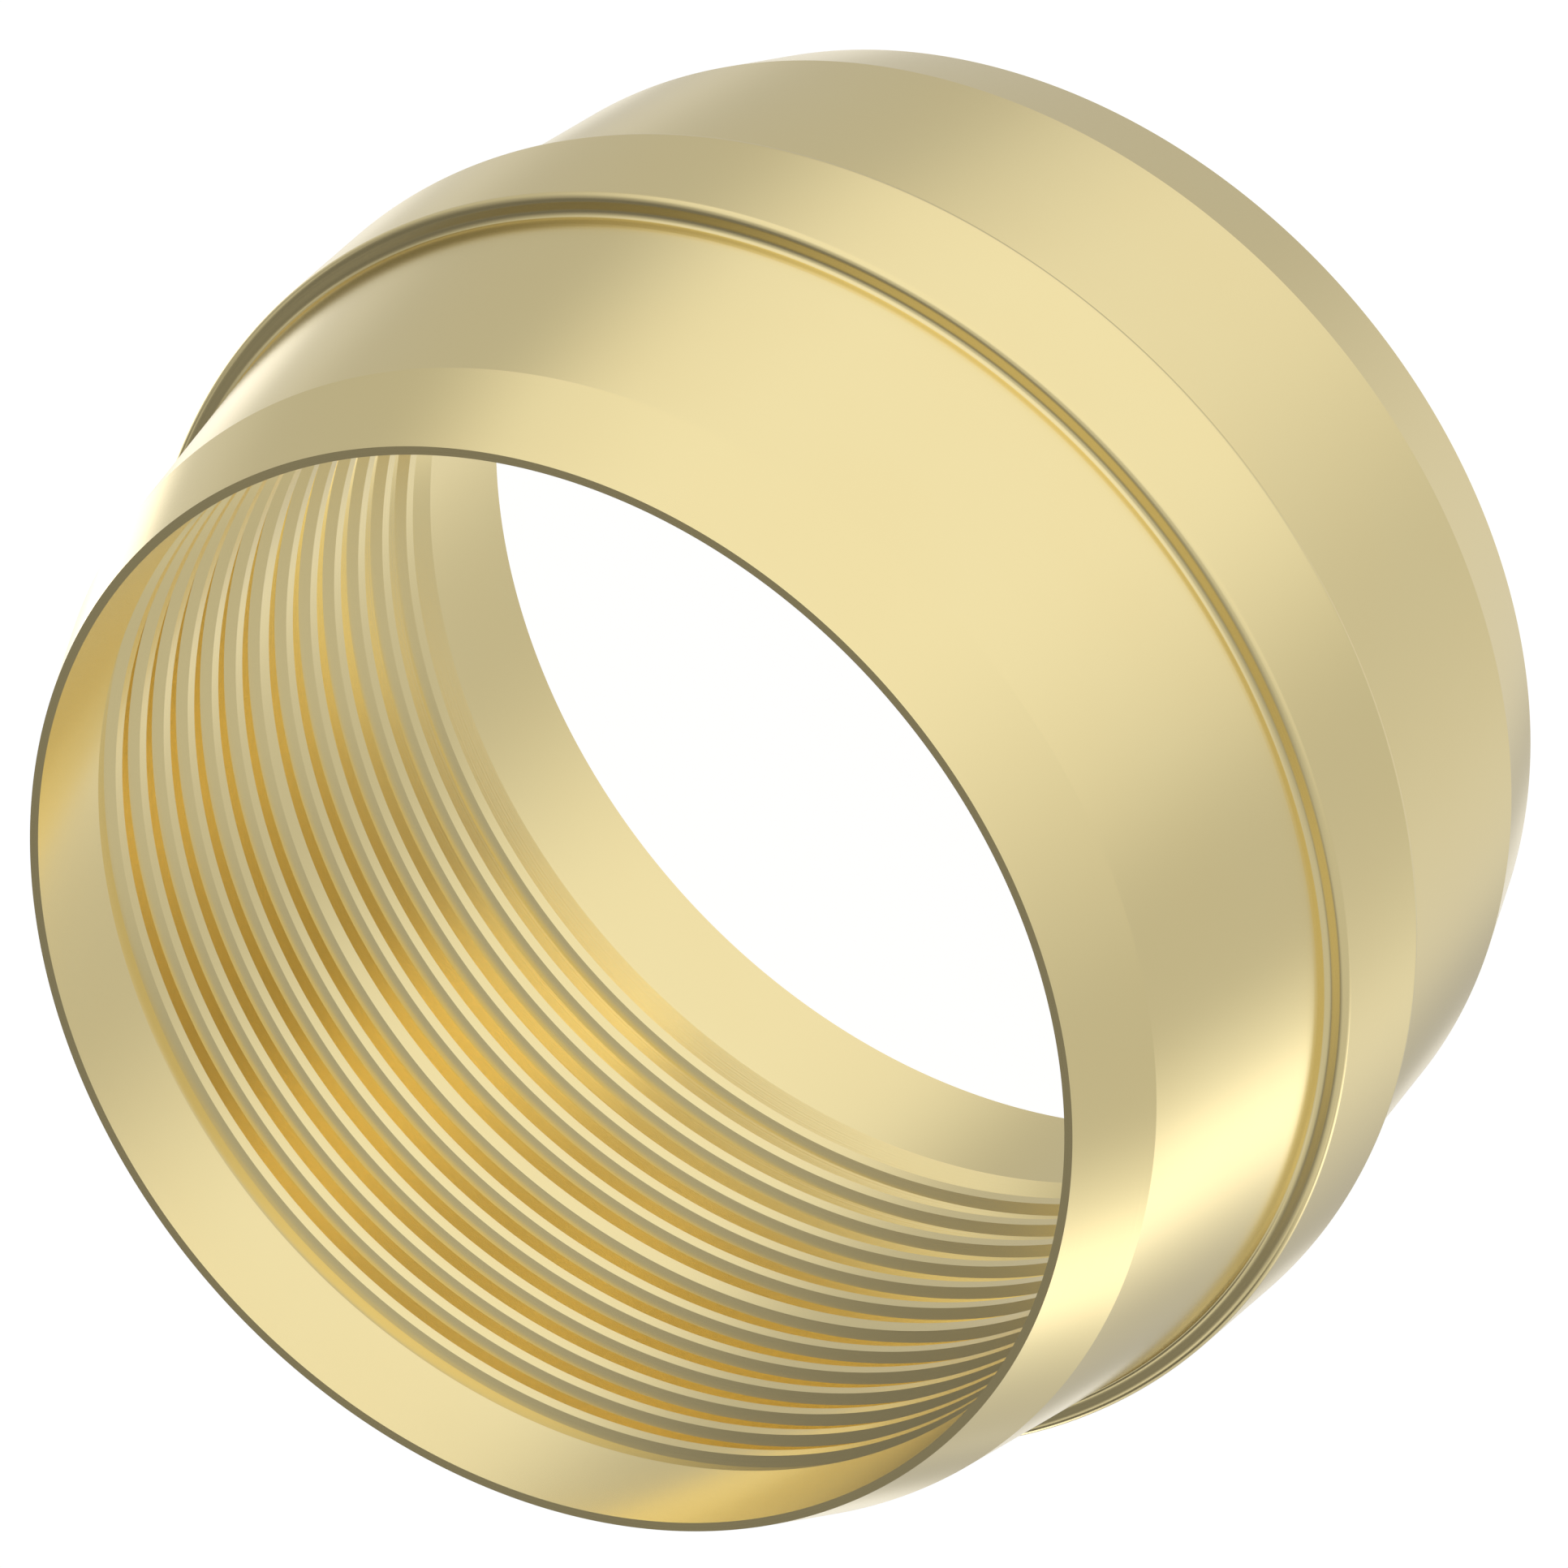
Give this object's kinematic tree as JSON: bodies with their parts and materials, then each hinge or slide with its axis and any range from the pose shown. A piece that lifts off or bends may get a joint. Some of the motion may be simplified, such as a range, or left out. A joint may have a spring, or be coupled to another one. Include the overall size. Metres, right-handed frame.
{
  "type": "compression sleeve",
  "caption": "Turned brass compression sleeve for plastic pipe, with a raised collar at mid-length, tapering ends, thin rims and ring-shaped lands in the bore.",
  "frame": {"origin": "on the axis, in the plane of the rear rim that the sleeve stands on", "axes": "+Z along the sleeve's axis, from the rear rim towards the front rim"},
  "size_m": [0.0742, 0.0742, 0.0488],
  "materials": {
    "turned_brass": "bright turned brass with a fine satin lay"
  },
  "bodies": {
    "root": {"compression_sleeve": "turned_brass"}
  },
  "joints": []
}
